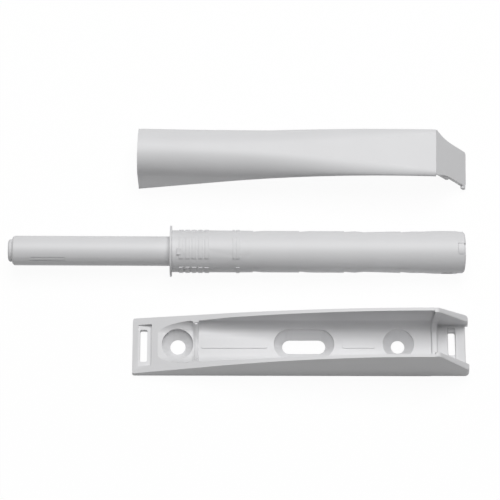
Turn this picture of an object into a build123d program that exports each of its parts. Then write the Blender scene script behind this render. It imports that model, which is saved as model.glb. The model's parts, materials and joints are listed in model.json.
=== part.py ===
from build123d import *
import os
from math import atan2, cos, degrees, pi, radians, sin, tan

# Touch latch for a cabinet door: a push-to-open unit with a round barrel, the screw-on
# adapter that holds it under a shelf, and the adapter's cover. The three lie in a row on a
# flat surface, z = 0, lengthways along X: adapter in front, latch unit behind it, cover last.

os.makedirs("parts", exist_ok=True)

# Latch unit, stations measured along its axis from the front face of the flange
barrel_length = 69.75
barrel_radius = 4.93
barrel_neck_radius = 4.97
barrel_bore_radius = 4.15
barrel_edge_chamfer = 0.35
flange_radius = 6.05
flange_thickness = 0.5
swell_height = 0.15
swell_setback = 1.9
swell_length = 5.1
swell_rise = 2.8
swell_fade = 0.6
neck_end = 16.6
body_start = 19.4
bush_length = 17.0
grip_ring_first = 2.6
grip_ring_pitch = 1.42
grip_ring_count = 5
seat_ring_station = 15.6
grip_ring_width = 0.55
grip_ring_height = 0.18
grip_ring_arc = 62.0
side_dip_stations = (19.6, 30.6, 41.2, 54.6)
side_dip_depth = 0.2
side_dip_run = 2.6
side_dip_arc = 60.0
window_setback = 4.05
window_length = 3.0
window_width = 1.6
lug_width = 2.7
lug_length = 1.8

plunger_radius = 3.5
plunger_bore_radius = 2.8
plunger_stand = 0.9
plunger_front_wall = 4.0
plunger_edge_chamfer = 0.4
end_play = 1.9
spigot_radius = 3.15
spigot_length = 3.0
tongue_setback = 4.3
tongue_length = 8.2
tongue_angle = 46.5
tongue_width = 0.95
tongue_slit = 0.22
tongue_slit_depth = 0.2

bumper_radius = 2.65
bumper_height = 0.95
bumper_stem_radius = 1.45
bumper_stem_length = 3.0
bumper_edge_chamfer = 0.3

carrier_length = 7.0
pin_wire = 0.7
pin_arm = 7.5
pin_lane_offset = 0.75
pin_pivot_inset = 2.8
pin_bend = 0.6

cam_width = 4.8
cam_thickness = 2.4
cam_start = 15.0
cam_foot = 1.5
cam_head_length = 1.2
cam_head_radius = 2.6
lane_depth = 0.9
lane_play = 0.1
return_lane_offset = -1.05
heart_length = 8.0

cap_wall = 0.8
cap_floor = 2.8
cap_skirt = 4.6

spring_wire = 0.6
spring_mean_radius = 2.1
spring_turns = 6

fit_gap = 0.05
slide_gap = 0.06
play = 0.1

# Adapter
adapter_front_half_width = 6.82
adapter_rear_half_width = 7.02
side_lean = 0.08
front_edge_height = 1.45
edge_rise = 15.1
edge_straight = 20.0
crest_setback = 9.45
trough_floor = 3.1
trough_corner = 2.6
trough_overrun = 1.0
trough_half_width = 5.2
end_slope = 51.4
nose_height = 4.0
nose_round = 2.0
ridge_round = 0.8
front_corner_round = 0.5
rear_corner_round = 1.0
bulkhead_thickness = 1.3
bulkhead_lip = 0.5
barrel_end_gap = 1.25
pocket_length = 7.65
pocket_floor = 1.75
pocket_corner = 0.3
pocket_half_width = 5.1
pocket_closing = 0.03
pocket_end_setback = 0.8
head_clearance_radius = 3.68
front_hole_station = 10.75
front_hole_radius = 1.8
rear_hole_setback = 7.8
rear_hole_radius = 1.6
screw_hole_land = 0.3
slot_station = 40.5
slot_length = 10.2
slot_width = 3.35
label_pad_height = 0.2
label_pad_width = 2.5
label_pad_round = 0.4
label_pads = ((16.35, 15.55), (49.5, 7.8))
saddle_width = 1.05
saddle_play = 0.15
front_slot_station = 2.68
front_slot_length = 7.8
strap_slot_width = 1.72
strap_slot_round = 0.4
front_pocket_start = 1.4
front_pocket_end = 4.6
front_pocket_half_width = 5.0
front_pocket_floor = 1.6
rear_slot_setback = 4.05
rear_slot_length = 5.5
rear_slot_offset = 0.6
rear_recess_length = 7.6
rear_recess_depth = 0.6
tail_ramp_length = 2.85
tail_ramp_drop = 0.55

# Cover
cover_fold_lap = 0.8
cover_front_half_width = 6.62
cover_mid_half_width = 6.87
cover_wall = 0.85
cover_top_gap = 0.85
cover_arch_round = 5.7
cover_mid_round = 3.6
cover_end_round = 0.75
cover_inner_round = 0.2
cover_corner_steps = 6
cover_mid_station = 42.0
flap_slope = 55.5
flap_width = 8.75
flap_thickness = 1.1
flap_neck = 3.6
flap_neck_round = 8.0
flap_tip_round = 0.7
flap_lip = 0.9
flap_lip_height = 0.8
flap_nib = 0.35
flap_gusset_start = 1.2
flap_gusset_length = 3.4
flap_gusset_height = 0.7

# Where the three lie: how far the ends of adapter and cover are set back from the tip
adapter_setback = 29.35
cover_setback = 30.35
row_half_spread = 23.2
unit_y = -1.2
unit_roll = 7.0
cover_yaw = -1.42

# Values that follow from the ones above
swell_radius = barrel_radius + swell_height
swell_end = barrel_length - swell_setback
swell_full = swell_end - swell_length
window_station = barrel_length - window_setback
carrier_start = bush_length + play
carrier_end = carrier_start + carrier_length
cap_start = barrel_length - cap_floor
plunger_stroke = cap_start - cap_skirt - carrier_end - end_play
plunger_reach = plunger_stroke + plunger_stand
unit_tilt = atan2(flange_radius - swell_radius, swell_end - flange_thickness)
bulkhead_station = barrel_length - flange_thickness + barrel_end_gap
pocket_station = bulkhead_station + bulkhead_thickness
adapter_length = pocket_station + pocket_length
crest_station = adapter_length - crest_setback
rear_hole_station = bulkhead_station - rear_hole_setback
rear_slot_station = adapter_length - rear_slot_setback
edge_climb = radians(edge_rise)
edge_straight_height = front_edge_height + edge_straight * tan(edge_climb)
crest_radius = (crest_station - edge_straight) / sin(edge_climb)
wall_height = edge_straight_height + crest_radius * (1 - cos(edge_climb))
nose_station = adapter_length - side_lean * nose_height
open_height = wall_height + trough_overrun
ridge_station = nose_station - (wall_height - nose_height) / tan(radians(end_slope))
cover_top_length = pocket_station - cover_fold_lap
cover_top = wall_height + cover_top_gap
flap_fall = radians(flap_slope)
flap_depth = cover_top - front_edge_height - (flap_thickness + flap_lip) * cos(flap_fall)
flap_length = flap_depth / sin(flap_fall)
flap_run = flap_length * cos(flap_fall)
tip_x = -(cover_setback + cover_top_length + flap_run) / 2


def lying_frame(x, y, z, yaw=0.0):
    """The frame of a piece that lies along X: x runs along it, y across it and z up."""
    along = (cos(radians(yaw)), sin(radians(yaw)), 0)
    return Plane(origin=(x, y, z), x_dir=along, z_dir=(0, 0, 1))


def end_plane(frame, station):
    """The plane across a piece at a station along it: x across, y up."""
    return Plane(origin=frame.origin + frame.x_dir * station, x_dir=frame.y_dir, z_dir=frame.x_dir)


def side_plane(frame, offset=0.0):
    """The upright plane along a piece, offset across it: x along, y up."""
    return Plane(origin=frame.origin + frame.y_dir * offset, x_dir=frame.x_dir, z_dir=-frame.y_dir)


def top_plane(frame, height):
    """The plane over a piece at a height: x along, y across."""
    return Plane(origin=frame.origin + frame.z_dir * height, x_dir=frame.x_dir, z_dir=frame.z_dir)


def turned(frame, angle):
    """A frame turned about its own x direction."""
    up = frame.z_dir.rotate(Axis((0, 0, 0), frame.x_dir), angle)
    return Plane(origin=frame.origin, x_dir=frame.x_dir, z_dir=up)


# The latch unit lies on its flange rim and on the swell near its rear end, rolled a little
unit_x = tip_x + bumper_height + plunger_reach
unit_z = flange_radius * cos(unit_tilt) + flange_thickness * sin(unit_tilt)
level_unit = Plane(
    origin=(unit_x, unit_y, unit_z),
    x_dir=(cos(unit_tilt), 0, -sin(unit_tilt)),
    z_dir=(sin(unit_tilt), 0, cos(unit_tilt)),
)
unit = turned(level_unit, unit_roll)
unit_axis = Axis(unit.origin, unit.x_dir)
adapter = lying_frame(tip_x + adapter_setback, -row_half_spread, 0)
cover = lying_frame(tip_x + cover_setback, row_half_spread, -front_edge_height, cover_yaw)


def keep(piece, name):
    """Label a finished piece and write it to its own file."""
    piece.part.label = name
    export_step(piece.part, f"parts/{name}.step")


def draw_wall_edge():
    """Draw the curve that the adapter's walls end on and the cover's skirt starts from."""
    low = Line((0, front_edge_height), (edge_straight, edge_straight_height))
    TangentArc(low @ 1, (crest_station, wall_height), tangent=low % 1)


def trough_section(station, floor, half_width, corner, closing=0.0):
    """An upright U across the adapter: flat floor, round corners, walls that may lean inward."""
    reach = half_width - closing * (open_height - floor)
    with BuildSketch(end_plane(adapter, station)) as section:
        with BuildLine():
            Polyline(
                (-half_width, floor),
                (half_width, floor),
                (reach, open_height),
                (-reach, open_height),
                close=True,
            )
        make_face()
        fillet(section.vertices().group_by(Axis.Y)[0], corner)
    return section.sketch


# Adapter: a long tray with a trough for the barrel, screwed down through its floor
with BuildPart() as adapter_base:
    with BuildSketch(top_plane(adapter, 0)) as plan:
        with BuildLine():
            Polyline(
                (0, -adapter_front_half_width),
                (adapter_length, -adapter_rear_half_width),
                (adapter_length, adapter_rear_half_width),
                (0, adapter_front_half_width),
                close=True,
            )
        make_face()
        fillet(plan.vertices().group_by(Axis.X)[0], front_corner_round)
        fillet(plan.vertices().group_by(Axis.X)[-1], rear_corner_round)
    extrude(amount=wall_height, taper=degrees(atan2(side_lean, 1)))
    with BuildSketch(side_plane(adapter)) as side_outline:
        with BuildLine():
            draw_wall_edge()
            Polyline(
                (crest_station, wall_height),
                (ridge_station, wall_height),
                (nose_station, nose_height),
                (adapter_length, 0),
                (-play, 0),
                (-play, front_edge_height),
                (0, front_edge_height),
            )
        make_face()
        corners = side_outline.vertices()
        fillet(corners.sort_by_distance((ridge_station, wall_height))[0], ridge_round)
        fillet(corners.sort_by_distance((nose_station, nose_height))[0], nose_round)
    extrude(amount=adapter_rear_half_width, both=True, mode=Mode.INTERSECT)

    # the trough with a round saddle for the barrel's seat ring, the bulkhead and the rear pocket
    saddle_start = seat_ring_station - flange_thickness - saddle_width / 2
    saddle_end = saddle_start + saddle_width
    trough_shape = (trough_floor, trough_half_width, trough_corner)
    bulkhead = trough_section(
        bulkhead_station,
        trough_floor + bulkhead_lip,
        trough_half_width - bulkhead_lip,
        trough_corner,
    )
    pocket = trough_section(
        pocket_station,
        pocket_floor,
        pocket_half_width,
        pocket_corner,
        pocket_closing,
    )
    pocket_end = trough_section(
        adapter_length - pocket_end_setback,
        -pocket_floor,
        pocket_half_width,
        pocket_corner,
        pocket_closing,
    )
    for start, end in ((0, saddle_start), (saddle_end, bulkhead_station)):
        extrude(trough_section(start, *trough_shape), amount=end - start, mode=Mode.SUBTRACT)
    with BuildSketch(end_plane(adapter, saddle_start)):
        with Locations((0, trough_floor + barrel_radius)):
            Circle(barrel_neck_radius + grip_ring_height + saddle_play)
    extrude(amount=saddle_width, mode=Mode.SUBTRACT)
    extrude(bulkhead, amount=bulkhead_thickness, mode=Mode.SUBTRACT)
    extrude(pocket, amount=adapter_length - pocket_station, mode=Mode.SUBTRACT)
    extrude(pocket_end, amount=pocket_end_setback, mode=Mode.SUBTRACT)

    # low pads on the trough's floor
    for pad_start, pad_length in label_pads:
        with BuildSketch(top_plane(adapter, trough_floor)):
            with Locations((pad_start + pad_length / 2, 0)):
                RectangleRounded(pad_length, label_pad_width, label_pad_round)
        extrude(amount=label_pad_height)

    # countersunk screw holes and the countersunk slot between them
    screw_holes = ((front_hole_station, front_hole_radius), (rear_hole_station, rear_hole_radius))
    for station, hole_radius in screw_holes:
        sink_top = screw_hole_land + head_clearance_radius - hole_radius
        with Locations(adapter.location * Pos(station, 0, sink_top)):
            CounterSinkHole(
                radius=hole_radius,
                counter_sink_radius=head_clearance_radius,
                counter_sink_angle=90,
                depth=wall_height,
            )
    slot_sink_depth = head_clearance_radius - slot_width / 2
    slot_sink_top = screw_hole_land + slot_sink_depth
    with BuildSketch(top_plane(adapter, slot_sink_top)) as slot_mouth:
        with Locations((slot_station, 0)):
            SlotOverall(slot_length + 2 * slot_sink_depth, 2 * head_clearance_radius)
    extrude(amount=wall_height, mode=Mode.SUBTRACT)
    extrude(slot_mouth.sketch, amount=-slot_sink_depth, taper=45, mode=Mode.SUBTRACT)
    with BuildSketch(top_plane(adapter, 0)):
        with Locations((slot_station, 0)):
            SlotOverall(slot_length, slot_width)
    extrude(amount=slot_sink_top, mode=Mode.SUBTRACT)

    # strap slots at both ends: the front one in a sunk seat, the rear one in a shallow recess
    with BuildSketch(top_plane(adapter, front_pocket_floor)):
        with Locations(((front_pocket_start + front_pocket_end) / 2, 0)):
            Rectangle(front_pocket_end - front_pocket_start, 2 * front_pocket_half_width)
    extrude(amount=wall_height, mode=Mode.SUBTRACT)
    with BuildSketch(top_plane(adapter, pocket_floor - rear_recess_depth)):
        with Locations((rear_slot_station, rear_slot_offset)):
            Rectangle(strap_slot_width, rear_recess_length)
    extrude(amount=wall_height, mode=Mode.SUBTRACT)
    with BuildSketch(top_plane(adapter, 0)):
        with Locations((front_slot_station, 0)):
            RectangleRounded(strap_slot_width, front_slot_length, strap_slot_round)
        with Locations((rear_slot_station, rear_slot_offset)):
            RectangleRounded(strap_slot_width, rear_slot_length, strap_slot_round)
    extrude(amount=trough_floor, mode=Mode.SUBTRACT)
    with BuildSketch(side_plane(adapter)):
        with BuildLine():
            Polyline(
                (adapter_length - tail_ramp_length, pocket_floor),
                (adapter_length, pocket_floor - tail_ramp_drop),
                (adapter_length, trough_floor),
                (adapter_length - tail_ramp_length, trough_floor),
                close=True,
            )
        make_face()
    extrude(amount=pocket_half_width - pocket_corner, both=True, mode=Mode.SUBTRACT)
keep(adapter_base, "adapter_base")


def cover_section(station, half_width, corner, inset=0.0):
    """The cover's section: leaning sides and a top whose corners are more or less round."""
    corner = max(corner - inset, cover_inner_round)
    foot = half_width - inset
    top = cover_top - inset
    lean = atan2(side_lean, 1)
    turn = pi / 2 - lean
    centre_x = foot - side_lean * (top - corner) - corner / cos(lean)
    bend = [lean + turn * step / cover_corner_steps for step in range(cover_corner_steps + 1)]
    right = [(centre_x + corner * cos(a), top - corner + corner * sin(a)) for a in bend]
    left = [(-x, y) for x, y in reversed(right)]
    with BuildSketch(end_plane(cover, station)) as section:
        with BuildLine():
            Polyline((-foot, 0), (foot, 0), *right, *left, close=True)
        make_face()
    return section.sketch


# Cover: an arch at its open front end that flattens out to a flat top with a snap flap
cover_sizes = (
    (0, cover_front_half_width, cover_arch_round),
    (cover_mid_station, cover_mid_half_width, cover_mid_round),
    (cover_top_length, adapter_rear_half_width, cover_end_round),
)
with BuildPart() as adapter_cover:
    loft([cover_section(*size) for size in cover_sizes], ruled=True)
    loft(
        [cover_section(*size, inset=cover_wall) for size in cover_sizes],
        ruled=True,
        mode=Mode.SUBTRACT,
    )
    with BuildSketch(side_plane(cover)):
        with BuildLine():
            draw_wall_edge()
            Polyline(
                (crest_station, wall_height),
                (cover_top_length, wall_height),
                (cover_top_length, cover_top),
                (0, cover_top),
                (0, front_edge_height),
            )
        make_face()
    extrude(amount=adapter_rear_half_width, both=True, mode=Mode.INTERSECT)

    # the flap slopes down from the fold at the top's rear edge, thicker near the fold, with a
    # hooked lip along its tip that is a little wider than the flap
    flap_plane = Plane(
        origin=cover.origin + cover.x_dir * cover_top_length + cover.z_dir * cover_top,
        x_dir=cover.x_dir * cos(flap_fall) - cover.z_dir * sin(flap_fall),
        z_dir=cover.x_dir * sin(flap_fall) + cover.z_dir * cos(flap_fall),
    )
    fold_half_width = adapter_rear_half_width - side_lean * cover_top
    with BuildSketch(flap_plane) as flap_outline:
        with BuildLine():
            Polyline(
                (0, -fold_half_width),
                (flap_neck, -flap_width / 2),
                (flap_length, -flap_width / 2),
                (flap_length, flap_width / 2),
                (flap_neck, flap_width / 2),
                (0, fold_half_width),
                close=True,
            )
        make_face()
        fillet(flap_outline.vertices().group_by(Axis.X)[1], flap_neck_round)
        fillet(flap_outline.vertices().group_by(Axis.X)[-1], flap_tip_round)
    extrude(amount=-flap_thickness)
    with BuildSketch(flap_plane):
        with Locations((flap_gusset_start + flap_gusset_length / 2, 0)):
            Rectangle(flap_gusset_length, flap_width)
    extrude(amount=-flap_thickness - flap_gusset_height)
    with BuildSketch(flap_plane.offset(-flap_thickness)):
        with Locations((flap_length - flap_lip_height / 2, 0)):
            Rectangle(flap_lip_height, flap_width + 2 * flap_nib)
    extrude(amount=-flap_lip)
keep(adapter_cover, "adapter_cover")

# Barrel: the unit's tube, with a flange at its mouth and a long bush that guides the plunger
bush_radius = plunger_radius + slide_gap
with BuildPart() as barrel:
    with BuildSketch(side_plane(unit)) as barrel_profile:
        with BuildLine():
            Polyline(
                (0, bush_radius),
                (0, flange_radius),
                (flange_thickness, flange_radius),
                (flange_thickness, barrel_neck_radius),
                (neck_end, barrel_neck_radius),
                (body_start, barrel_radius),
                (swell_full - swell_rise, barrel_radius),
                (swell_full, swell_radius),
                (swell_end, swell_radius),
                (swell_end + swell_fade, barrel_radius),
                (barrel_length, barrel_radius),
                (barrel_length, barrel_bore_radius),
                (bush_length, barrel_bore_radius),
                (bush_length, bush_radius),
                close=True,
            )
        make_face()
        rear_corner = barrel_profile.vertices().sort_by_distance((barrel_length, barrel_radius))
        chamfer(rear_corner[0], barrel_edge_chamfer)
    revolve(axis=unit_axis)

    # grip rings and a seat ring, each in four arcs with gaps between them
    ring_stations = [grip_ring_first + n * grip_ring_pitch for n in range(grip_ring_count)]
    ring_stations.append(seat_ring_station)
    for quarter in range(4):
        with BuildSketch(side_plane(turned(unit, 90 * quarter - grip_ring_arc / 2))):
            for station in ring_stations:
                with BuildLine():
                    Polyline(
                        (station - grip_ring_width / 2, barrel_neck_radius - grip_ring_height),
                        (station - grip_ring_width / 2, barrel_neck_radius),
                        (station, barrel_neck_radius + grip_ring_height),
                        (station + grip_ring_width / 2, barrel_neck_radius),
                        (station + grip_ring_width / 2, barrel_neck_radius - grip_ring_height),
                        close=True,
                    )
                make_face()
        revolve(axis=unit_axis, revolution_arc=grip_ring_arc)

    # shallow dips in both sides, each a step that fades out to the rear
    for side in (90, -90):
        with BuildSketch(side_plane(turned(unit, side - side_dip_arc / 2))):
            for station in side_dip_stations:
                with BuildLine():
                    Polyline(
                        (station, barrel_radius - side_dip_depth),
                        (station, flange_radius),
                        (station + side_dip_run, flange_radius),
                        (station + side_dip_run, barrel_radius),
                        close=True,
                    )
                make_face()
        revolve(axis=unit_axis, revolution_arc=side_dip_arc, mode=Mode.SUBTRACT)

    # windows for the end cap's noses and notches for its lugs
    with BuildSketch(side_plane(unit)):
        with Locations((window_station, 0)):
            SlotOverall(window_length, window_width)
    extrude(amount=flange_radius, both=True, mode=Mode.SUBTRACT)
    with BuildSketch(end_plane(unit, barrel_length - lug_length)):
        Rectangle(lug_width, 2 * flange_radius)
    extrude(amount=lug_length, mode=Mode.SUBTRACT)
keep(barrel, "barrel")

# Plunger: the sliding tube; the bumper's stem plugs into its front wall
plunger_front = -plunger_reach
plunger_bore_start = plunger_front + plunger_front_wall
spigot_end = carrier_start + spigot_length
with BuildPart() as plunger:
    with BuildSketch(side_plane(unit)) as plunger_profile:
        with BuildLine():
            Polyline(
                (plunger_front, bumper_stem_radius + fit_gap),
                (plunger_front, plunger_radius),
                (carrier_start, plunger_radius),
                (carrier_start, spigot_radius),
                (spigot_end, spigot_radius),
                (spigot_end, plunger_bore_radius),
                (plunger_bore_start, plunger_bore_radius),
                (plunger_bore_start, bumper_stem_radius + fit_gap),
                close=True,
            )
        make_face()
        front_corner = plunger_profile.vertices().sort_by_distance((plunger_front, plunger_radius))
        chamfer(front_corner[0], plunger_edge_chamfer)
    revolve(axis=unit_axis)
    # a narrow tongue near the tip, marked out by two fine slits
    with BuildSketch(top_plane(turned(unit, tongue_angle), plunger_radius - tongue_slit_depth)):
        with Locations((plunger_front + tongue_setback + tongue_length / 2, 0)):
            with GridLocations(0, tongue_width, 1, 2):
                Rectangle(tongue_length, tongue_slit)
    extrude(amount=2 * tongue_slit_depth, mode=Mode.SUBTRACT)
keep(plunger, "plunger")

# Bumper: the soft pad that meets the door, held by its stem
with BuildPart() as bumper_tip:
    bumper_face = plunger_front - bumper_height
    with BuildSketch(side_plane(unit)) as bumper_profile:
        with BuildLine():
            Polyline(
                (bumper_face, 0),
                (bumper_face, bumper_radius),
                (plunger_front, bumper_radius),
                (plunger_front, bumper_stem_radius),
                (plunger_front + bumper_stem_length, bumper_stem_radius),
                (plunger_front + bumper_stem_length, 0),
                close=True,
            )
        make_face()
        face_corner = bumper_profile.vertices().sort_by_distance((bumper_face, bumper_radius))
        chamfer(face_corner[0], bumper_edge_chamfer)
    revolve(axis=unit_axis)
keep(bumper_tip, "bumper_tip")

# Pin carrier: the collar on the plunger's rear end that stops it and holds the latch pin
carrier_radius = barrel_bore_radius - play
socket_end = spigot_end + fit_gap
pivot_station = carrier_end - pin_pivot_inset
with BuildPart() as pin_carrier:
    with BuildSketch(side_plane(unit)):
        with BuildLine():
            Polyline(
                (carrier_start, spigot_radius + fit_gap),
                (carrier_start, carrier_radius),
                (carrier_end, carrier_radius),
                (carrier_end, plunger_bore_radius),
                (socket_end, plunger_bore_radius),
                (socket_end, spigot_radius + fit_gap),
                close=True,
            )
        make_face()
    revolve(axis=unit_axis)
    with BuildSketch(top_plane(unit, 0)):
        with Locations((pivot_station, pin_lane_offset)):
            Circle(pin_wire / 2 + fit_gap)
    extrude(amount=flange_radius, mode=Mode.SUBTRACT)
keep(pin_carrier, "pin_carrier")

# Latch pin: a bent wire that hinges in the carrier and follows the cam's lane with its tip
lane_top = cam_thickness / 2
arm_height = lane_top + play + pin_wire / 2
tip_station = pivot_station + pin_arm
with BuildPart() as latch_pin:
    with BuildLine(side_plane(unit, pin_lane_offset)) as pin_path:
        FilletPolyline(
            (pivot_station, carrier_radius - 3 * play),
            (pivot_station, arm_height),
            (tip_station, arm_height),
            (tip_station, lane_top - lane_depth + lane_play),
            radius=pin_bend,
        )
    with BuildSketch(Plane(origin=pin_path.line @ 0, z_dir=pin_path.line % 0)):
        RegularPolygon(pin_wire / 2, 6)
    sweep()
keep(latch_pin, "latch_pin")

# Cam bar: stands in the end cap, reaches into the plunger and carries the heart-shaped lane
lane_half = pin_wire / 2 + lane_play
lane_start = tip_station - 2 * lane_half
lane_end = tip_station + plunger_stroke + lane_half
low_edge = return_lane_offset - lane_half
high_edge = pin_lane_offset + lane_half
heart_start = lane_end - heart_length
heart_end = lane_end - 4 * lane_half
with BuildPart() as cam_bar:
    with BuildSketch(end_plane(unit, cam_start)):
        Rectangle(cam_width, cam_thickness)
    extrude(amount=cap_start + cam_foot - cam_start)
    with BuildSketch(end_plane(unit, cam_start)):
        Circle(cam_head_radius)
    extrude(amount=cam_head_length)
    with BuildSketch(top_plane(unit, lane_top)):
        with Locations(((lane_start + lane_end) / 2, pin_lane_offset)):
            Rectangle(lane_end - lane_start, 2 * lane_half)
        # the room in which the pin swings back to its main lane when the plunger is out
        with BuildLine():
            Polyline(
                (lane_start, low_edge),
                (tip_station + lane_half, low_edge),
                (tip_station + heart_length / 2, high_edge),
                (lane_start, high_edge),
                close=True,
            )
        make_face()
        # the return lane past the heart, whose notch holds the pin when the plunger is in
        with BuildLine():
            Polyline(
                (heart_start, low_edge),
                (lane_end, low_edge),
                (lane_end, high_edge),
                (heart_end + lane_half, high_edge),
                (heart_end - lane_half, return_lane_offset + 2 * lane_half),
                (heart_end + lane_half / 2, return_lane_offset + lane_half),
                (heart_start + lane_half, return_lane_offset + lane_half),
                (heart_start - lane_half, pin_lane_offset),
                (heart_start - 4 * lane_half, pin_lane_offset),
                close=True,
            )
        make_face()
    extrude(amount=-lane_depth, mode=Mode.SUBTRACT)
keep(cam_bar, "cam_bar")

# End cap: closes the barrel; its skirt carries two snap noses and its floor two lugs
cap_radius = barrel_bore_radius - fit_gap
with BuildPart() as end_cap:
    with BuildSketch(end_plane(unit, cap_start - cap_skirt)):
        Circle(cap_radius)
    extrude(amount=cap_skirt + cap_floor)
    with BuildSketch(side_plane(unit)):
        with Locations((window_station, 0)):
            SlotOverall(window_length - 2 * fit_gap, window_width - 2 * fit_gap)
    extrude(amount=barrel_radius - play, both=True)
    with BuildSketch(end_plane(unit, barrel_length - lug_length + fit_gap)):
        Circle(barrel_radius)
        Rectangle(lug_width - 2 * fit_gap, 2 * flange_radius, mode=Mode.INTERSECT)
    extrude(amount=lug_length - fit_gap - barrel_edge_chamfer)
    with BuildSketch(end_plane(unit, cap_start - cap_skirt)):
        Circle(cap_radius - cap_wall)
    extrude(amount=cap_skirt, mode=Mode.SUBTRACT)
    with BuildSketch(end_plane(unit, cap_start)):
        Rectangle(cam_width + 2 * fit_gap, cam_thickness + 2 * fit_gap)
    extrude(amount=cam_foot + fit_gap, mode=Mode.SUBTRACT)
keep(end_cap, "end_cap")

# Main spring: pushes the plunger out, between its front wall and the cam bar's head
spring_start = plunger_bore_start + spring_wire / 2 + fit_gap
spring_length = cam_start - spring_wire / 2 - fit_gap - spring_start
with BuildPart() as main_spring:
    with BuildLine() as coil:
        Helix(
            spring_length / spring_turns,
            spring_length,
            spring_mean_radius,
            center=unit.origin + unit.x_dir * spring_start,
            direction=unit.x_dir,
        )
    with BuildSketch(Plane(origin=coil.line @ 0, z_dir=coil.line % 0)):
        RegularPolygon(spring_wire / 2, 4)
    sweep(is_frenet=True)
keep(main_spring, "main_spring")
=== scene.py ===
import json
import logging
from collections.abc import Callable
from dataclasses import dataclass, field
from enum import Enum
from math import atan2, cos, pi, radians, sin, tan

import bmesh
import bpy
from mathutils import Matrix, Vector

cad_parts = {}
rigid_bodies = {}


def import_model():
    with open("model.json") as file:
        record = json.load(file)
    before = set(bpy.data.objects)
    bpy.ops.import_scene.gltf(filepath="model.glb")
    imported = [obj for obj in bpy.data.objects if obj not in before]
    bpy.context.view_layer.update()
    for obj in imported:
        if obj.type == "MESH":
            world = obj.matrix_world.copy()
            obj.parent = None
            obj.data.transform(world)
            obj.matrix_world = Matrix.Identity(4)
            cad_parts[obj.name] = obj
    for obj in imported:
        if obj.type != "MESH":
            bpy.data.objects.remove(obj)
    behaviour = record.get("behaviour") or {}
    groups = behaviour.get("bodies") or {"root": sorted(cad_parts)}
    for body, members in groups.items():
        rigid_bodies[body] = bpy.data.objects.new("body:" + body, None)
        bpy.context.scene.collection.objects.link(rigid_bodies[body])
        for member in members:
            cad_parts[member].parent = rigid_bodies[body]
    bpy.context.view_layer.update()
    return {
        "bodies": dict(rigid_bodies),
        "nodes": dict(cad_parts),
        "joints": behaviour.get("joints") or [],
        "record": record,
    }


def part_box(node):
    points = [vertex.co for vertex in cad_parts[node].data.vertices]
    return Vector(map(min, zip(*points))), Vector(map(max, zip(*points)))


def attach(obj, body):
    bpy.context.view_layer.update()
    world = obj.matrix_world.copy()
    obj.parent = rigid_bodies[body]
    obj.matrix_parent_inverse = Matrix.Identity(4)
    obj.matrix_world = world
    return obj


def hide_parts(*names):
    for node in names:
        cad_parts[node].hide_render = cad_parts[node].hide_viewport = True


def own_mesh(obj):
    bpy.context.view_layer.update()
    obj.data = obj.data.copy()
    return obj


LOG = logging.getLogger("touch_latch")
MM = 0.001
LATCH_BODY = "latch_set"
PLUNGER_BODY = "plunger_unit"
MERGE_GAP = 0.002 * MM


@dataclass(frozen=True)
class Plastic:
    """A moulded plastic finish with a fine matt texture.

    Attributes:
        name: the material's name.
        slot: the record's material slot.
        colour: linear base colour.
        roughness: mean surface roughness.
        gloss_play: how far the roughness strays from its mean.
        mottle: how far the colour strays from its mean, as a share.
        mottle_scale: how many clouds of the mottle go to a metre.
        mottle_detail: how many finer layers those clouds have.
        grain: size of the moulded texture's grains, in metres.
        grain_detail: how many finer layers the grains have.
        relief: height of that texture, in metres.
        relief_strength: how much of that relief is felt, as a share.
    """

    name: str
    slot: str
    colour: tuple[float, float, float]
    roughness: float = 0.5
    gloss_play: float = 0.05
    mottle: float = 0.03
    mottle_scale: float = 90.0
    mottle_detail: float = 3.0
    grain: float = 0.22 * MM
    grain_detail: float = 2.0
    relief: float = 0.01 * MM
    relief_strength: float = 0.6

    def material(self) -> bpy.types.Material:
        """Build the node material.

        Returns:
            The finished material.
        """
        made = bpy.data.materials.new(self.name)
        made.use_nodes = True
        nodes, links = made.node_tree.nodes, made.node_tree.links
        shader = nodes["Principled BSDF"]
        place = nodes.new("ShaderNodeTexCoord")
        grain = nodes.new("ShaderNodeTexNoise")
        grain.inputs["Scale"].default_value = 1 / self.grain
        grain.inputs["Detail"].default_value = self.grain_detail
        cloud = nodes.new("ShaderNodeTexNoise")
        cloud.inputs["Scale"].default_value = self.mottle_scale
        cloud.inputs["Detail"].default_value = self.mottle_detail
        tint = nodes.new("ShaderNodeMapRange")
        tint.inputs["To Min"].default_value = 1 - self.mottle
        tint.inputs["To Max"].default_value = 1 + self.mottle
        shade = nodes.new("ShaderNodeMix")
        shade.data_type = "RGBA"
        shade.blend_type = "MULTIPLY"
        shade.inputs["Factor"].default_value = 1
        shade.inputs["A"].default_value = (*self.colour, 1)
        gloss = nodes.new("ShaderNodeMapRange")
        gloss.inputs["To Min"].default_value = self.roughness - self.gloss_play
        gloss.inputs["To Max"].default_value = self.roughness + self.gloss_play
        bump = nodes.new("ShaderNodeBump")
        bump.inputs["Strength"].default_value = self.relief_strength
        bump.inputs["Distance"].default_value = self.relief
        links.new(place.outputs["Object"], grain.inputs["Vector"])
        links.new(place.outputs["Object"], cloud.inputs["Vector"])
        links.new(cloud.outputs["Fac"], tint.inputs["Value"])
        links.new(tint.outputs["Result"], shade.inputs["B"])
        links.new(shade.outputs["Result"], shader.inputs["Base Color"])
        links.new(grain.outputs["Fac"], gloss.inputs["Value"])
        links.new(gloss.outputs["Result"], shader.inputs["Roughness"])
        links.new(grain.outputs["Fac"], bump.inputs["Height"])
        links.new(bump.outputs["Normal"], shader.inputs["Normal"])
        return made


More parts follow.
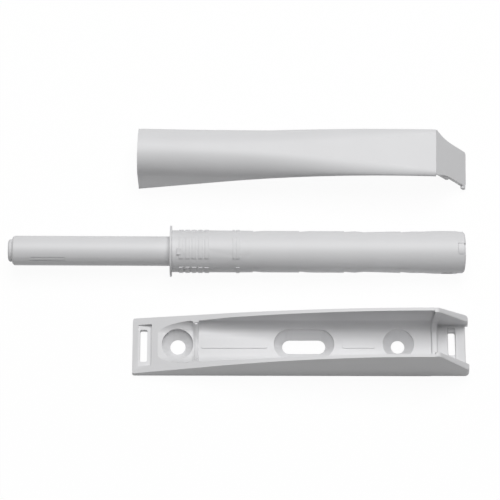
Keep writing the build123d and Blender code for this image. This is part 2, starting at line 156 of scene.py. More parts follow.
class Finish(Enum):
    """The finishes that the latch's pieces are moulded or drawn in."""

    SHELL = Plastic("pale_grey_plastic", "shell", (0.70, 0.70, 0.71))
    INSERT = Plastic("satin_grey_plastic", "insert", (0.66, 0.66, 0.67), roughness=0.4)
    SOFT = Plastic("soft_pale_rubber", "soft_tip", (0.68, 0.68, 0.69), roughness=0.7)
    STEEL = Plastic("spring_wire", "spring_steel", (0.5, 0.5, 0.51), roughness=0.3)


@dataclass
class Dresser:
    """Gives pieces their finishes, bodies and slots, and reports them.

    Attributes:
        materials: the finished material of each finish.
    """

    materials: dict[Finish, bpy.types.Material] = field(
        default_factory=lambda: {finish: finish.value.material() for finish in Finish}
    )

    def paint(self, piece: bpy.types.Object, finish: Finish) -> None:
        """Put a finish on a piece in place of what it has.

        Args:
            piece: the piece.
            finish: the finish it takes.
        """
        piece.data.materials.clear()
        piece.data.materials.append(self.materials[finish])

    def hand_over(
        self, piece: bpy.types.Object, finish: Finish, body: str, stands_for: str = ""
    ) -> None:
        """Dress a finished piece and put it on its body.

        Args:
            piece: the finished piece.
            finish: the finish it takes.
            body: the body that it moves with.
            stands_for: the CAD node that it replaces, if any.
        """
        self.paint(piece, finish)
        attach(piece, body)
        if stands_for:
            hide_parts(stands_for)
        LOG.info("made %s with %d faces", piece.name, len(piece.data.polygons))


class Bench:
    """Modelling steps that the pieces share, done with Blender's own operators."""

    @staticmethod
    def clear_selection() -> None:
        """Leave nothing selected."""
        bpy.ops.object.select_all(action="DESELECT")

    @staticmethod
    def take_up(piece: bpy.types.Object) -> None:
        """Make a piece the only selected one, and the active one.

        Args:
            piece: the piece.
        """
        Bench.clear_selection()
        bpy.context.view_layer.objects.active = piece
        piece.select_set(True)

    @staticmethod
    def pick(
        piece: bpy.types.Object, chosen: Callable[[Vector], bool], mode: str = "VERT"
    ) -> None:
        """Select the vertices at the places that a test accepts; the piece is in edit mode.

        Args:
            piece: the piece in edit mode.
            chosen: the test of a vertex's place.
            mode: the selection mode to end in.
        """
        bpy.ops.mesh.select_mode(type="VERT")
        bpy.ops.mesh.select_all(action="DESELECT")
        bpy.ops.object.mode_set(mode="OBJECT")
        for vertex in piece.data.vertices:
            vertex.select = chosen(vertex.co)
        bpy.ops.object.mode_set(mode="EDIT")
        if mode != "VERT":
            bpy.ops.mesh.select_mode(type=mode)

    @staticmethod
    def merged_copy(node: bpy.types.Object, name: str, flat: float = 0.6) -> bpy.types.Object:
        """Copy a CAD node and make one clean skin of the copy's loose triangles.

        Args:
            node: the CAD node, which stays as it is.
            name: the copy's name.
            flat: the angle in degrees under which faces count as one flat.

        Returns:
            The merged copy.
        """
        piece = node.copy()
        piece.data = node.data.copy()
        piece.name = name
        bpy.context.scene.collection.objects.link(piece)
        Bench.take_up(piece)
        bpy.ops.mesh.customdata_custom_splitnormals_clear()
        bpy.ops.object.mode_set(mode="EDIT")
        bpy.ops.mesh.select_all(action="SELECT")
        bpy.ops.mesh.remove_doubles(threshold=MERGE_GAP)
        bpy.ops.mesh.mark_sharp(clear=True)
        bpy.ops.mesh.dissolve_limited(angle_limit=radians(flat))
        bpy.ops.object.mode_set(mode="OBJECT")
        return piece

    @staticmethod
    def soften(
        piece: bpy.types.Object,
        width: float,
        segments: int = 3,
        angle: float = 28.0,
        smooth: float = 38.0,
    ) -> None:
        """Round a piece's edges a little and shade its faces smoothly.

        Args:
            piece: the piece.
            width: how far the rounding reaches from the edge, in metres.
            segments: how many faces make each rounding.
            angle: the angle in degrees from which an edge is rounded.
            smooth: the angle in degrees up to which faces shade into each other.
        """
        Bench.take_up(piece)
        bevel = piece.modifiers.new("soft_edges", "BEVEL")
        bevel.width = width
        bevel.segments = segments
        bevel.limit_method = "ANGLE"
        bevel.angle_limit = radians(angle)
        bpy.ops.object.modifier_apply(modifier=bevel.name)
        Bench.shade(piece, smooth)

    @staticmethod
    def shade(
        piece: bpy.types.Object, smooth: float = 38.0, cuts: tuple[float, ...] = ()
    ) -> None:
        """Shade a piece's faces smoothly, its large flat ones flat.

        Args:
            piece: the piece.
            smooth: the angle in degrees up to which faces shade into each other.
            cuts: stations along X of cuts whose edges stay sharp.
        """
        Bench.take_up(piece)
        bpy.ops.object.shade_smooth_by_angle(angle=radians(smooth))
        for cut in cuts:
            bpy.ops.object.mode_set(mode="EDIT")
            Bench.pick(piece, lambda co: abs(co.x - cut) < MERGE_GAP, "EDGE")
            bpy.ops.mesh.mark_sharp()
            bpy.ops.object.mode_set(mode="OBJECT")
        even = piece.modifiers.new("even_normals", "WEIGHTED_NORMAL")
        even.keep_sharp = True
        bpy.ops.object.modifier_apply(modifier=even.name)

    @staticmethod
    def slice(piece: bpy.types.Object, station: float, keep_front: bool) -> None:
        """Cut a piece straight across and close the cut.

        Args:
            piece: the piece.
            station: where along X the cut goes.
            keep_front: whether the part before the cut stays, or the part after it.
        """
        Bench.take_up(piece)
        bpy.ops.object.mode_set(mode="EDIT")
        bpy.ops.mesh.select_all(action="SELECT")
        bpy.ops.mesh.bisect(
            plane_co=(station, 0, 0),
            plane_no=(1, 0, 0),
            use_fill=False,
            clear_inner=not keep_front,
            clear_outer=keep_front,
        )
        bpy.ops.mesh.select_mode(type="EDGE")
        bpy.ops.mesh.select_all(action="DESELECT")
        bpy.ops.mesh.select_non_manifold(
            use_wire=False, use_multi_face=False, use_non_contiguous=False, use_verts=False
        )
        bpy.ops.mesh.edge_face_add()
        bpy.ops.object.mode_set(mode="OBJECT")

    @staticmethod
    def melt(piece: bpy.types.Object, voxel: float, passes: int, pull: float = 0.5) -> None:
        """Give a piece an even skin and soften all its edges, as on a worn mould.

        Args:
            piece: the piece, a closed solid.
            voxel: the size of the even skin's faces, in metres.
            passes: how many times the skin is smoothed.
            pull: how far a pass moves a vertex towards its neighbours, as a share.
        """
        Bench.take_up(piece)
        skin = piece.modifiers.new("even_skin", "REMESH")
        skin.mode = "VOXEL"
        skin.voxel_size = voxel
        bpy.ops.object.modifier_apply(modifier=skin.name)
        smooth = piece.modifiers.new("soft_skin", "SMOOTH")
        smooth.factor = pull
        smooth.iterations = passes
        bpy.ops.object.modifier_apply(modifier=smooth.name)

    @staticmethod
    def block(name: str, low: Vector, high: Vector) -> bpy.types.Object:
        """Add a block between two corners.

        Args:
            name: the block's name.
            low: its lowest corner.
            high: its highest corner.

        Returns:
            The block, with its place and size in its mesh.
        """
        Bench.clear_selection()
        bpy.ops.mesh.primitive_cube_add(size=1, location=(low + high) / 2)
        piece = bpy.context.object
        piece.name = name
        piece.scale = high - low
        bpy.ops.object.transform_apply(location=True, rotation=True, scale=True)
        return piece

    @staticmethod
    def arc_bar(
        name: str, place: Vector, width: float, depth: float, arc: float, faces: int
    ) -> bpy.types.Object:
        """Spin an upright rectangle about the X axis, half of the arc to each side.

        Args:
            name: the bar's name.
            place: the rectangle's middle, above or below the axis.
            width: the bar's width along the axis, in metres.
            depth: its depth towards the axis, in metres.
            arc: how far it goes round, in degrees.
            faces: how many faces it has along the arc.

        Returns:
            The closed bar.
        """
        Bench.clear_selection()
        bpy.ops.mesh.primitive_plane_add(size=1, rotation=(pi / 2, 0, 0))
        piece = bpy.context.object
        piece.name = name
        piece.scale = (width, depth, 1)
        piece.location = place
        bpy.ops.object.transform_apply(location=True, rotation=True, scale=True)
        bpy.ops.object.mode_set(mode="EDIT")
        bpy.ops.mesh.select_all(action="SELECT")
        bpy.ops.transform.rotate(
            value=radians(-arc / 2), orient_axis="X", center_override=(0, 0, 0)
        )
        bpy.ops.mesh.spin(steps=faces, angle=radians(arc), center=(0, 0, 0), axis=(1, 0, 0))
        bpy.ops.object.mode_set(mode="OBJECT")
        Bench.face_outwards(piece)
        return piece

    @staticmethod
    def settle(piece: bpy.types.Object, place: Matrix) -> None:
        """Move a piece from its own coordinates to its place, and keep that in its mesh.

        Args:
            piece: the piece.
            place: where its own coordinates go.
        """
        Bench.take_up(piece)
        piece.matrix_world = place
        bpy.ops.object.transform_apply(location=True, rotation=True, scale=True)

    @staticmethod
    def repeat(piece: bpy.types.Object, move: Matrix) -> bpy.types.Object:
        """Copy a piece with its own mesh, moved on.

        Args:
            piece: the piece to copy.
            move: where the copy goes from it.

        Returns:
            The copy.
        """
        twin = piece.copy()
        twin.data = piece.data.copy()
        bpy.context.scene.collection.objects.link(twin)
        Bench.settle(twin, move)
        return twin

    @staticmethod
    def join(pieces: list[bpy.types.Object], name: str) -> bpy.types.Object:
        """Join pieces into one.

        Args:
            pieces: the pieces, the first of which stays.
            name: the joined piece's name.

        Returns:
            The joined piece.
        """
        Bench.take_up(pieces[0])
        for piece in pieces[1:]:
            piece.select_set(True)
        bpy.ops.object.join()
        pieces[0].name = name
        return pieces[0]

    @staticmethod
    def face_outwards(piece: bpy.types.Object) -> None:
        """Merge a piece's doubles and turn its faces outwards.

        Args:
            piece: the piece.
        """
        Bench.take_up(piece)
        bpy.ops.object.mode_set(mode="EDIT")
        bpy.ops.mesh.select_all(action="SELECT")
        bpy.ops.mesh.remove_doubles(threshold=MERGE_GAP)
        bpy.ops.mesh.normals_make_consistent(inside=False)
        bpy.ops.object.mode_set(mode="OBJECT")


def mount(record: dict, name: str) -> dict:
    """Find one of the record's mounts.

    Args:
        record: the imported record.
        name: the mount's name.

    Returns:
        The mount.
    """
    return next(row for row in record["mounts"] if row["name"] == name)


@dataclass
class Adapter:
    """The screw-on adapter: the CAD skin with its moulded edges rounded.

    Sizes are in metres and angles in degrees. Stations are measured from its front edge, widths
    from its middle and heights from the floor.
    """

    edge_round: float = 0.14 * MM
    front_round: float = 1.1 * MM
    front_faces: int = 5
    front_sharp: float = 14.0
    front_reach: tuple[float, float] = (5.0 * MM, 10.5 * MM)
    rear_seam: float = 70.4 * MM
    seam_margin: float = 3.0 * MM
    seam_lap: float = 0.1 * MM
    end_voxel: float = 0.13 * MM
    end_passes: int = 8
    end_smooth: float = 75.0
    trough_floor: float = 3.1 * MM
    trough_radius: float = 5.3 * MM
    saddle_station: float = 15.1 * MM
    saddle_width: float = 1.05 * MM
    saddle_growth: float = 0.15 * MM
    saddle_reach: float = 5.175 * MM
    saddle_notch: float = 0.28 * MM
    saddle_slack: float = 0.01 * MM
    bar_radius: float = 4.93 * MM
    bar_depth: float = 0.5 * MM
    bar_width: float = 0.65 * MM
    bar_arc: float = 117.0
    bar_faces: int = 24
    pad_height: float = 0.2 * MM
    pad_half_width: float = 1.25 * MM
    pad_shift: float = 0.22 * MM
    pad_ends: tuple[float, ...] = (16.35 * MM, 31.9 * MM, 49.5 * MM, 57.3 * MM)

    def build(self, frame: dict, dresser: Dresser) -> None:
        """Make the adapter and dress it.

        Args:
            frame: the loaded frame.
            dresser: dresses the piece.
        """
        node = frame["nodes"]["adapter_base"]
        low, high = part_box("adapter_base")
        corner = Vector((low.x, (low.y + high.y) / 2, 0))
        body = Bench.merged_copy(node, "adapter_body")
        self.reshape(body, corner)
        self.round_front(body, corner)
        Bench.soften(body, self.edge_round)
        seam = corner.x + self.rear_seam
        rear = self.soft_end(node, seam)
        Bench.slice(body, seam, keep_front=True)
        Bench.shade(body, cuts=(seam,))
        body = Bench.join([body, rear], "adapter_body")
        dresser.hand_over(body, Finish.SHELL, LATCH_BODY, "adapter_base")
        bar = self.bar()
        Bench.settle(bar, Matrix.Translation(corner))
        dresser.hand_over(bar, Finish.SHELL, LATCH_BODY)

    def soft_end(self, node: bpy.types.Object, seam: float) -> bpy.types.Object:
        """Make the adapter's rear end with the soft edges of a thick moulding.

        Args:
            node: the adapter's CAD node.
            seam: where the end meets the rest, along X.

        Returns:
            The end, which overlaps the rest a little.
        """
        piece = Bench.merged_copy(node, "adapter_end")
        Bench.slice(piece, seam - self.seam_margin, keep_front=False)
        Bench.melt(piece, self.end_voxel, self.end_passes)
        cut = seam - self.seam_lap
        Bench.slice(piece, cut, keep_front=False)
        Bench.shade(piece, self.end_smooth, (cut,))
        return piece

    def at_front(self, local: Vector) -> bool:
        """Tell whether a place is where the trough opens out at the front.

        Args:
            local: the place, from the middle of the adapter's front edge on the floor.

        Returns:
            Whether it is there.
        """
        start, end = self.front_reach
        raised = local.z > self.trough_floor - MERGE_GAP
        return start < local.x < end and raised and abs(local.y) > self.pad_half_width

    def reshape(self, body: bpy.types.Object, corner: Vector) -> None:
        """Widen the copy's saddle, make it shallower at the rim and shift the low pads.

        Args:
            body: the merged copy of the adapter.
            corner: the middle of the adapter's front edge on the floor.
        """
        half = self.saddle_width / 2
        for vertex in body.data.vertices:
            local = vertex.co - corner
            away = local.x - self.saddle_station
            if abs(abs(away) - half) < self.saddle_slack:
                vertex.co.x += self.saddle_growth if away > 0 else -self.saddle_growth
                if abs(local.y) > self.saddle_reach:
                    drop = self.trough_floor + self.bar_radius - local.z
                    wall = (self.trough_radius**2 - drop**2) ** 0.5 + self.saddle_notch
                    vertex.co.y = corner.y + (wall if local.y > 0 else -wall)
            elif self.on_pad(local):
                vertex.co.y += self.pad_shift

    def on_pad(self, local: Vector) -> bool:
        """Tell whether a place is on one of the low pads on the trough's floor.

        Args:
            local: the place, from the middle of the adapter's front edge on the floor.

        Returns:
            Whether it is on a pad.
        """
        first, second, third, fourth = self.pad_ends
        along = first <= local.x + MERGE_GAP and local.x - MERGE_GAP <= fourth
        between = second + MERGE_GAP < local.x < third - MERGE_GAP
        level = -MERGE_GAP < local.z - self.trough_floor < self.pad_height + MERGE_GAP
        return along and not between and level and abs(local.y) < self.pad_half_width + MERGE_GAP

    def round_front(self, body: bpy.types.Object, corner: Vector) -> None:
        """Round the edges where the trough opens out at the front more than the rest.

        Args:
            body: the merged copy of the adapter.
            corner: the middle of the adapter's front edge on the floor.
        """
        Bench.take_up(body)
        bpy.ops.object.mode_set(mode="EDIT")
        bpy.ops.mesh.select_mode(type="EDGE")
        bpy.ops.mesh.select_all(action="DESELECT")
        skin = bmesh.from_edit_mesh(body.data)
        for edge in skin.edges:
            chosen = all(self.at_front(vertex.co - corner) for vertex in edge.verts)
            if chosen and len(edge.link_faces) == 2:
                edge.select_set(edge.calc_face_angle() > radians(self.front_sharp))
        bmesh.update_edit_mesh(body.data)
        bpy.ops.mesh.bevel(
            offset=self.front_round, segments=self.front_faces, affect="EDGES", clamp_overlap=True
        )
        bpy.ops.object.mode_set(mode="OBJECT")

    def bar(self) -> bpy.types.Object:
        """Spin the narrow bar that stands in the saddle, between two fine grooves.

        Returns:
            The bar, in the adapter's coordinates.
        """
        middle = Vector((0, 0, -self.bar_radius - self.bar_depth / 2))
        piece = Bench.arc_bar(
            "saddle_bar", middle, self.bar_width, self.bar_depth, self.bar_arc, self.bar_faces
        )
        Bench.soften(piece, self.edge_round / 2, segments=2)
        axis_height = self.trough_floor + self.bar_radius
        Bench.settle(piece, Matrix.Translation((self.saddle_station, 0, axis_height)))
        return piece


@dataclass
class Cover:
    """The snap-on cover: an arch that flattens out towards a sloping flap.

    Sizes are in metres, from the cover's front end and from the height of its lowest edge, and
    on the flap from its fold. Angles are in degrees.
    """

    setback: float = 30.35 * MM
    row_offset: float = 23.2 * MM
    yaw: float = -1.42
    lowest_edge: float = 1.45 * MM
    edge_rise: float = 15.1
    edge_straight: float = 20.0 * MM
    crest: float = 70.0 * MM
    length: float = 71.0 * MM
    top_gap: float = 0.85 * MM
    lean: float = 0.08
    half_widths: tuple[float, float, float] = (6.62 * MM, 6.87 * MM, 7.02 * MM)
    corners: tuple[float, float, float] = (5.7 * MM, 4.5 * MM, 1.2 * MM)
    middle: float = 42.0 * MM
    wall: float = 0.85 * MM
    ribs: int = 24
    corner_faces: int = 12
    flap_slope: float = 55.5
    flap_half_width: float = 4.38 * MM
    flap_neck: float = 3.6 * MM
    neck_parts: tuple[float, ...] = (0.1, 1 / 3, 2 / 3, 1, 4 / 3, 5 / 3, 2)
    tip_parts: tuple[float, ...] = (1, 0.6, 0.3, 0.1, 0)
    lip_depth: float = 0.9 * MM
    lip_height: float = 0.8 * MM
    lip_inset: float = 0.5 * MM
    tip_round: float = 0.7 * MM
    nib: float = 0.75 * MM
    nib_height: float = 1.25 * MM
    nib_sink: float = 0.04 * MM
    nib_round: float = 0.18 * MM
    nib_smooth: float = 5.0
    gusset: tuple[float, float] = (3.1 * MM, 7.2 * MM)
    gusset_reach: float = 0.42 * MM
    gusset_drop: float = 0.3 * MM
    gusset_depth: float = 1.5 * MM
    gusset_round: float = 0.374 * MM
    edge_round: float = 0.22 * MM

    def __post_init__(self) -> None:
        """Work out the heights that follow from the sizes."""
        rise = radians(self.edge_rise)
        self.straight_top = self.lowest_edge + self.edge_straight * tan(rise)
        self.bend = (self.crest - self.edge_straight) / sin(rise)
        self.skirt_top = self.straight_top + self.bend * (1 - cos(rise))
        self.top = self.skirt_top + self.top_gap
        fall = radians(self.flap_slope)
        drop = self.top - self.lowest_edge - (self.wall + self.lip_depth) * cos(fall)
        self.flap_length = drop / sin(fall)

    def skirt_edge(self, station: float) -> float:
        """Give the height of the skirt's lower edge at a station along the cover.

        Args:
            station: the distance from the front end.

        Returns:
            The height.
        """
        if station <= self.edge_straight:
            return self.lowest_edge + station * tan(radians(self.edge_rise))
        back = max(self.crest - station, 0)
        return self.skirt_top - self.bend + (self.bend**2 - back**2) ** 0.5

    def along(self, sizes: tuple[float, float, float], station: float) -> float:
        """Read a size at a station from a smooth curve through its three values.

        Args:
            sizes: the size at the front end, the middle and the rear end.
            station: the distance from the front end.

        Returns:
            The size there.
        """
        front, middle, rear = sizes
        to_middle, to_end = station - self.middle, station - self.length
        rest = self.length - self.middle
        return (
            front * to_middle * to_end / (self.middle * self.length)
            - middle * station * to_end / (self.middle * rest)
            + rear * station * to_middle / (self.length * rest)
        )

    def rib(self, piece: bpy.types.Object, station: float) -> None:
        """Add the cover's outline at a station: an upright U with rounded top corners.

        Args:
            piece: the cover's mesh, in edit mode.
            station: the distance from the front end.
        """
        foot = self.along(self.half_widths, station)
        corner = self.along(self.corners, station)
        edge = self.skirt_edge(station)
        bpy.ops.mesh.select_all(action="DESELECT")
        bpy.ops.mesh.primitive_plane_add(size=2, location=(station, 0, 0), rotation=(0, pi / 2, 0))
        bpy.ops.object.mode_set(mode="OBJECT")
        new = [vertex for vertex in piece.data.vertices if vertex.select]
        for vertex in new:
            high = vertex.co.z > 0
            height = self.top if high else edge
            side = 1 if vertex.co.y > 0 else -1
            vertex.co = (station, side * (foot - self.lean * height), height)
        for vertex in new:
            vertex.select = vertex.co.z < self.top - MERGE_GAP
        for edge_line in piece.data.edges:
            edge_line.select = all(piece.data.vertices[i].select for i in edge_line.vertices)
        for face in piece.data.polygons:
            face.select = False
        bpy.ops.object.mode_set(mode="EDIT")
        bpy.ops.mesh.select_mode(type="EDGE")
        bpy.ops.mesh.delete(type="EDGE_FACE")
        turn = pi / 2 - atan2(self.lean, 1)
        level = self.top - MERGE_GAP
        Bench.pick(piece, lambda co: abs(co.x - station) < MERGE_GAP and co.z > level)
        bpy.ops.mesh.bevel(
            offset=corner * tan(turn / 2),
            segments=self.corner_faces,
            affect="VERTICES",
            clamp_overlap=False,
        )

    def shell(self) -> bpy.types.Object:
        """Bridge the outlines from end to end and give the skin its thickness.

        Returns:
            The cover without its flap, in its own coordinates.
        """
        Bench.clear_selection()
        bpy.ops.mesh.primitive_plane_add(size=1)
        piece = bpy.context.object
        piece.name = "cover_shell"
        bpy.ops.object.mode_set(mode="EDIT")
        bpy.ops.mesh.delete(type="VERT")
        stations = [self.length * number / self.ribs for number in range(self.ribs + 1)]
        for station in stations:
            self.rib(piece, station)
        for front, rear in zip(stations, stations[1:]):
            Bench.pick(
                piece,
                lambda co: min(abs(co.x - front), abs(co.x - rear)) < MERGE_GAP,
                "EDGE",
            )
            bpy.ops.mesh.bridge_edge_loops()
        bpy.ops.object.mode_set(mode="OBJECT")
        return piece

    def flap_width_at(self, along_flap: float) -> float:
        """Give the flap's half width at a distance from the fold.

        Args:
            along_flap: the distance from the fold.

        Returns:
            The half width.
        """
        full = self.half_widths[-1] - self.lean * self.top
        from_tip = self.flap_length - along_flap
        if from_tip < self.tip_round:
            bulge = (self.tip_round**2 - (self.tip_round - from_tip) ** 2) ** 0.5
            return self.flap_half_width - self.tip_round + bulge
        if along_flap >= 2 * self.flap_neck:
            return self.flap_half_width
        part = 1 - along_flap / (2 * self.flap_neck)
        return self.flap_half_width + (full - self.flap_half_width) * part**2

    def flap(self, piece: bpy.types.Object) -> None:
        """Draw the flap out of the flat top's rear edge, narrowing past its neck.

        Args:
            piece: the cover's skin.
        """
        fall = radians(self.flap_slope)
        down = Vector((cos(fall), 0, -sin(fall)))
        Bench.take_up(piece)
        bpy.ops.object.mode_set(mode="EDIT")
        Bench.pick(
            piece,
            lambda co: co.x > self.length - MERGE_GAP and co.z > self.top - MERGE_GAP,
            "EDGE",
        )
        corner_reach = self.corners[-1] * tan((pi / 2 - atan2(self.lean, 1)) / 2)
        width = self.half_widths[-1] - self.lean * self.top - corner_reach
        here = 0.0
        steps = [self.flap_neck * part for part in self.neck_parts]
        steps += [self.flap_length - self.tip_round * part for part in self.tip_parts]
        for there in steps:
            wanted = self.flap_width_at(there)
            bpy.ops.mesh.extrude_region_move(
                TRANSFORM_OT_translate={"value": down * (there - here)}
            )
            bpy.ops.transform.resize(
                value=(1, wanted / width, 1), center_override=(self.length, 0, self.top)
            )
            width, here = wanted, there
        bpy.ops.object.mode_set(mode="OBJECT")

    def build(self, frame: dict, dresser: Dresser) -> None:
        """Make the cover and dress it.

        Args:
            frame: the loaded frame.
            dresser: dresses the piece.
        """
        tip = Vector(mount(frame["record"], "bumper_face")["pos_m"])
        piece = self.shell()
        self.flap(piece)
        Bench.take_up(piece)
        thick = piece.modifiers.new("wall", "SOLIDIFY")
        thick.thickness = self.wall
        thick.offset = -1
        thick.use_even_offset = True
        bpy.ops.object.modifier_apply(modifier=thick.name)
        Bench.soften(piece, self.edge_round)
        extras = [self.lip(), self.hook(), self.side_gusset()]
        piece = Bench.join([piece, *extras], "cover_shell")
        place = Matrix.Translation((tip.x + self.setback, self.row_offset, -self.lowest_edge))
        Bench.settle(piece, place @ Matrix.Rotation(radians(self.yaw), 4, "Z"))
        dresser.hand_over(piece, Finish.SHELL, LATCH_BODY, "adapter_cover")

    def on_flap(self) -> Matrix:
        """Give the flap's own frame: x down along it, y across and z out of its face."""
        fold = Matrix.Translation((self.length, 0, self.top))
        return fold @ Matrix.Rotation(radians(self.flap_slope), 4, "Y")

    def lip(self) -> bpy.types.Object:
        """Make the lip under the flap's tip.

        Returns:
            The lip, in the cover's coordinates.
        """
        reach = self.flap_half_width - self.lip_inset
        start = self.flap_length - self.lip_height
        low = Vector((start, -reach, -self.wall - self.lip_depth))
        high = Vector((self.flap_length - self.nib_sink, reach, -self.wall / 2))
        piece = Bench.block("flap_lip", low, high)
        Bench.soften(piece, self.edge_round)
        Bench.settle(piece, self.on_flap())
        return piece

    def hook(self) -> bpy.types.Object:
        """Make the small hook at the flap's near lower corner.

        Returns:
            The hook, in the cover's coordinates.
        """
        near = -self.flap_half_width
        low = Vector((self.flap_length - self.nib_height, near - self.nib, -self.wall))
        high = Vector((self.flap_length, near + self.nib, -self.nib_sink))
        piece = Bench.block("flap_hook", low, high)
        Bench.soften(piece, self.nib_round, smooth=self.nib_smooth)
        Bench.settle(piece, self.on_flap())
        return piece

    def side_gusset(self) -> bpy.types.Object:
        """Make the small gusset that stiffens the flap's near edge below the fold.

        Returns:
            The gusset, in the cover's coordinates.
        """
        near = -self.flap_half_width
        start, end = self.gusset
        low = Vector((start, near - self.gusset_reach, -self.gusset_depth))
        high = Vector((end, near + self.gusset_reach, -self.gusset_drop))
        piece = Bench.block("flap_gusset", low, high)
        Bench.soften(piece, self.gusset_round)
        Bench.settle(piece, self.on_flap())
        return piece


@dataclass
class PushUnit:
    """The pen-like latch unit: barrel, plunger and the ribs round the barrel's neck.

    Stations are measured along its axis from the flange's front face, in metres. Angles are in
    degrees.
    """

    reach: float = 38.2 * MM
    roll: float = 7.0
    neck_radius: float = 4.97 * MM
    neck_span: tuple[float, float] = (1.5 * MM, 17.0 * MM)
    ring_height: float = 0.16 * MM
    ring_width: float = 1.05 * MM
    ring_first: float = 2.65 * MM
    ring_pitch: float = 1.515 * MM
    ring_count: int = 5
    rib_arc: float = 62.0
    rib_faces: int = 16
    sectors: int = 4
    fine_seat: float = 15.05 * MM
    fine_seat_width: float = 0.55 * MM
    fine_seat_sectors: int = 2
    seat: float = 16.05 * MM
    seat_width: float = 0.85 * MM
    flange_thickness: float = 0.42 * MM
    flange_reach: float = 1.0 * MM
    nub_station: float = 2.1 * MM
    nub_size: tuple[float, float, float] = (1.0 * MM, 1.6 * MM, 0.25 * MM)
    nub_angle: float = 18.0
    edge_round: float = 0.08 * MM
    rib_round: float = 0.06 * MM
    cap_round: float = 0.14 * MM

    def place(self, record: dict) -> Matrix:
        """Find where the unit lies: x along its axis, z up and rolled.

        Args:
            record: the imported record.

        Returns:
            The unit's frame.
        """
        along = Vector(mount(record, "barrel_fit")["axis"]).normalized()
        origin = Vector(mount(record, "bumper_face")["pos_m"]) + along * self.reach
        tilt = atan2(-along.z, along.x)
        turn = Matrix.Rotation(tilt, 4, "Y") @ Matrix.Rotation(radians(self.roll), 4, "X")
        return Matrix.Translation(origin) @ turn

    def trim_barrel(self, barrel: bpy.types.Object, place: Matrix) -> None:
        """Press the copy's rings down to the neck, where the ribs go, and thin its flange.

        Args:
            barrel: the merged copy of the barrel.
            place: the unit's frame.
        """
        inward = place.inverted()
        start, end = self.neck_span
        for vertex in barrel.data.vertices:
            local = inward @ vertex.co
            radius = (local.y**2 + local.z**2) ** 0.5
            if start < local.x < end and radius > self.neck_radius:
                local.y *= self.neck_radius / radius
                local.z *= self.neck_radius / radius
                vertex.co = place @ local
            elif self.flange_thickness < local.x < self.flange_reach:
                local.x = self.flange_thickness
                vertex.co = place @ local

    def rib(self, station: float, width: float) -> bpy.types.Object:
        """Make one rib, on top of the neck.

        Args:
            station: its middle along the axis.
            width: its width along the axis.

        Returns:
            The rib, in the unit's coordinates.
        """
        middle = Vector((station, 0, self.neck_radius))
        depth = 2 * self.ring_height
        piece = Bench.arc_bar("barrel_rib", middle, width, depth, self.rib_arc, self.rib_faces)
        Bench.soften(piece, self.rib_round, segments=2)
        return piece

    def ribs(self) -> bpy.types.Object:
        """Make the ribs round the neck, one of each width and its copies, and the nub.

        Returns:
            The ribs and the nub as one piece, in the unit's coordinates.
        """
        sector = -2 * pi / self.sectors
        turns = [Matrix.Rotation(sector * count, 4, "X") for count in range(self.sectors)]
        ring = self.rib(self.ring_first, self.ring_width)
        seat = self.rib(self.seat, self.seat_width)
        fine_seat = self.rib(self.fine_seat, self.fine_seat_width)
        made = [ring, seat, fine_seat]
        for count in range(1, self.ring_count):
            onward = Matrix.Translation((self.ring_pitch * count, 0, 0))
            made += [Bench.repeat(ring, turn @ onward) for turn in turns]
        made += [Bench.repeat(piece, turn) for piece in (ring, seat) for turn in turns[1:]]
        made += [Bench.repeat(fine_seat, turn) for turn in turns[1 : self.fine_seat_sectors]]
        return Bench.join([*made, self.nub()], "barrel_ribs")

    def nub(self) -> bpy.types.Object:
        """Make the small raised nub between the flange and the first rib.

        Returns:
            The nub, in the unit's coordinates.
        """
        length, width, height = self.nub_size
        low = Vector((self.nub_station - length / 2, -width / 2, self.neck_radius - height))
        high = Vector((self.nub_station + length / 2, width / 2, self.neck_radius + height))
        piece = Bench.block("barrel_nub", low, high)
        Bench.soften(piece, self.edge_round)
        Bench.settle(piece, Matrix.Rotation(radians(self.nub_angle - self.roll), 4, "X"))
        return piece

    def build(self, frame: dict, dresser: Dresser) -> None:
        """Make the unit's shown pieces and dress them.

        Args:
            frame: the loaded frame.
            dresser: dresses the pieces.
        """
        place = self.place(frame["record"])
        barrel = Bench.merged_copy(frame["nodes"]["barrel"], "barrel_tube")
        self.trim_barrel(barrel, place)
        Bench.soften(barrel, self.edge_round)
        dresser.hand_over(barrel, Finish.SHELL, LATCH_BODY, "barrel")
        ribs = self.ribs()
        Bench.settle(ribs, place)
        dresser.hand_over(ribs, Finish.SHELL, LATCH_BODY)
        plunger = Bench.merged_copy(frame["nodes"]["plunger"], "plunger_tube")
        Bench.soften(plunger, self.edge_round / 2)
        dresser.hand_over(plunger, Finish.SHELL, PLUNGER_BODY, "plunger")
        cap = Bench.merged_copy(frame["nodes"]["end_cap"], "end_cap_plug")
        Bench.soften(cap, self.cap_round)
        dresser.hand_over(cap, Finish.INSERT, LATCH_BODY, "end_cap")
        self.spring(frame, dresser)

    def spring(self, frame: dict, dresser: Dresser) -> None:
        """Make the main spring: a smoothly shaded merged copy of its CAD node, with a mesh of its
        own.

        Args:
            frame: the loaded frame.
            dresser: dresses the piece.
        """
        coil = Bench.merged_copy(frame["nodes"]["main_spring"], "spring_coil", flat=0.0)
        Bench.shade(coil)
        dresser.hand_over(coil, Finish.STEEL, LATCH_BODY, "main_spring")
        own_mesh(coil)


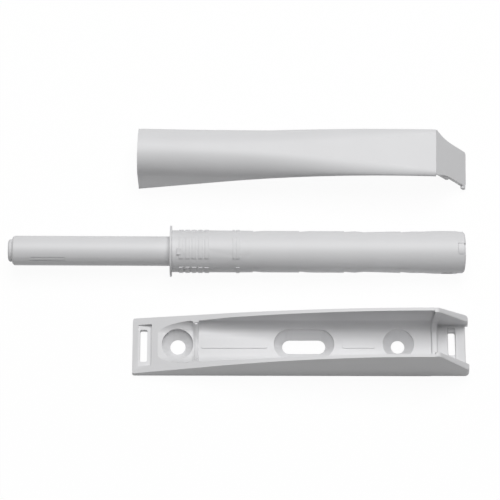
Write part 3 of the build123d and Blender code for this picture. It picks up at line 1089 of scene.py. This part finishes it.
@dataclass
class Studio:
    """The plain floor, soft light and camera.

    Attributes:
        target: the point on the floor that the camera looks at, in metres.
        elevation: the camera's angle above the floor, in degrees.
        distance: from the camera to the target, in metres.
        lens: the camera's focal length, in millimetres.
        sensor: the width of its sensor, in millimetres.
        nearest: how near to the camera a thing may be and still be seen, in metres.
        lamp_place: where the lamp hangs, in metres.
        lamp_side: the length of its side, in metres.
        lamp_power: its power, in watts.
        sky: how strong the even light from all sides is.
        floor_half: half the floor's side, in metres.
        floor_grey: how much of the light that falls on the floor goes back up, as a share.
        floor_glow: the share of the floor's own light in what the camera sees of it.
    """

    target: Vector = field(default_factory=lambda: Vector((0.0024344, 0.00107, 0)))
    elevation: float = 72.0
    distance: float = 0.5005
    lens: float = 150.0
    sensor: float = 36.0
    nearest: float = 0.01
    lamp_place: tuple[float, float, float] = (0.05, 0.265, 0.88)
    lamp_side: float = 0.6
    lamp_power: float = 7.8
    sky: float = 0.125
    floor_half: float = 1.5
    floor_grey: float = 0.72
    floor_glow: float = 0.95

    def build(self) -> None:
        """Make the camera, the lamp, the world and the floor."""
        self.camera()
        self.world()
        self.lamp()
        self.floor()
        bpy.context.scene.view_settings.view_transform = "Standard"

    def camera(self) -> None:
        """Place the camera at the photograph's angle."""
        lens = bpy.data.cameras.new("camera")
        lens.lens = self.lens
        lens.sensor_width = self.sensor
        lens.clip_start = self.nearest
        camera = bpy.data.objects.new("camera", lens)
        bpy.context.scene.collection.objects.link(camera)
        rise = radians(self.elevation)
        camera.location = self.target + Vector((0, -cos(rise), sin(rise))) * self.distance
        camera.rotation_euler = (pi / 2 - rise, 0, 0)
        bpy.context.scene.camera = camera

    def world(self) -> None:
        """Light the scene evenly from all sides, and show white behind the floor."""
        world = bpy.data.worlds.new("studio")
        world.use_nodes = True
        bpy.context.scene.world = world
        nodes, links = world.node_tree.nodes, world.node_tree.links
        background = nodes["Background"]
        path = nodes.new("ShaderNodeLightPath")
        level = nodes.new("ShaderNodeMapRange")
        level.inputs["To Min"].default_value = self.sky
        level.inputs["To Max"].default_value = 1
        links.new(path.outputs["Is Camera Ray"], level.inputs["Value"])
        links.new(level.outputs["Result"], background.inputs["Strength"])
        background.inputs["Color"].default_value = (1, 1, 1, 1)

    def lamp(self) -> None:
        """Hang a square lamp that shines at the object."""
        light = bpy.data.lights.new("top_light", "AREA")
        light.size = self.lamp_side
        light.energy = self.lamp_power
        lamp = bpy.data.objects.new("top_light", light)
        bpy.context.scene.collection.objects.link(lamp)
        lamp.location = self.lamp_place
        lamp.rotation_euler = (self.target - lamp.location).to_track_quat("-Z", "Y").to_euler()

    def floor(self) -> None:
        """Lay the floor, which the camera sees white with a soft shadow."""
        Bench.clear_selection()
        bpy.ops.mesh.primitive_plane_add(size=2 * self.floor_half, location=(0, 0, 0))
        floor = bpy.context.object
        floor.name = "floor"
        made = bpy.data.materials.new("white_floor")
        made.use_nodes = True
        nodes, links = made.node_tree.nodes, made.node_tree.links
        nodes.remove(nodes["Principled BSDF"])
        path = nodes.new("ShaderNodeLightPath")
        seen = nodes.new("ShaderNodeMath")
        seen.operation = "MAXIMUM"
        grey = self.floor_grey
        dull = nodes.new("ShaderNodeBsdfDiffuse")
        dull.inputs["Color"].default_value = (grey, grey, grey, 1)
        pale = nodes.new("ShaderNodeBsdfDiffuse")
        pale.inputs["Color"].default_value = (1, 1, 1, 1)
        glow = nodes.new("ShaderNodeEmission")
        soft = nodes.new("ShaderNodeMixShader")
        soft.inputs["Fac"].default_value = self.floor_glow
        choice = nodes.new("ShaderNodeMixShader")
        links.new(path.outputs["Is Camera Ray"], seen.inputs[0])
        links.new(path.outputs["Is Glossy Ray"], seen.inputs[1])
        links.new(seen.outputs["Value"], choice.inputs["Fac"])
        links.new(pale.outputs["BSDF"], soft.inputs[1])
        links.new(glow.outputs["Emission"], soft.inputs[2])
        links.new(dull.outputs["BSDF"], choice.inputs[1])
        links.new(soft.outputs["Shader"], choice.inputs[2])
        links.new(choice.outputs["Shader"], nodes["Material Output"].inputs["Surface"])
        floor.data.materials.append(made)


def main() -> None:
    """Build the studio, then dress and finish the latch."""
    logging.basicConfig(level=logging.INFO)
    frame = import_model()
    Studio().build()
    dresser = Dresser()
    by_slot = {finish.value.slot: finish for finish in Finish}
    for row in frame["record"]["subparts"]:
        finish = by_slot[row["material_slot"]]
        dresser.paint(frame["nodes"][row["node"]], finish)
        LOG.info("painted %s in %s", row["node"], finish.value.name)
    Adapter().build(frame, dresser)
    Cover().build(frame, dresser)
    PushUnit().build(frame, dresser)


if __name__ == "__main__":
    main()
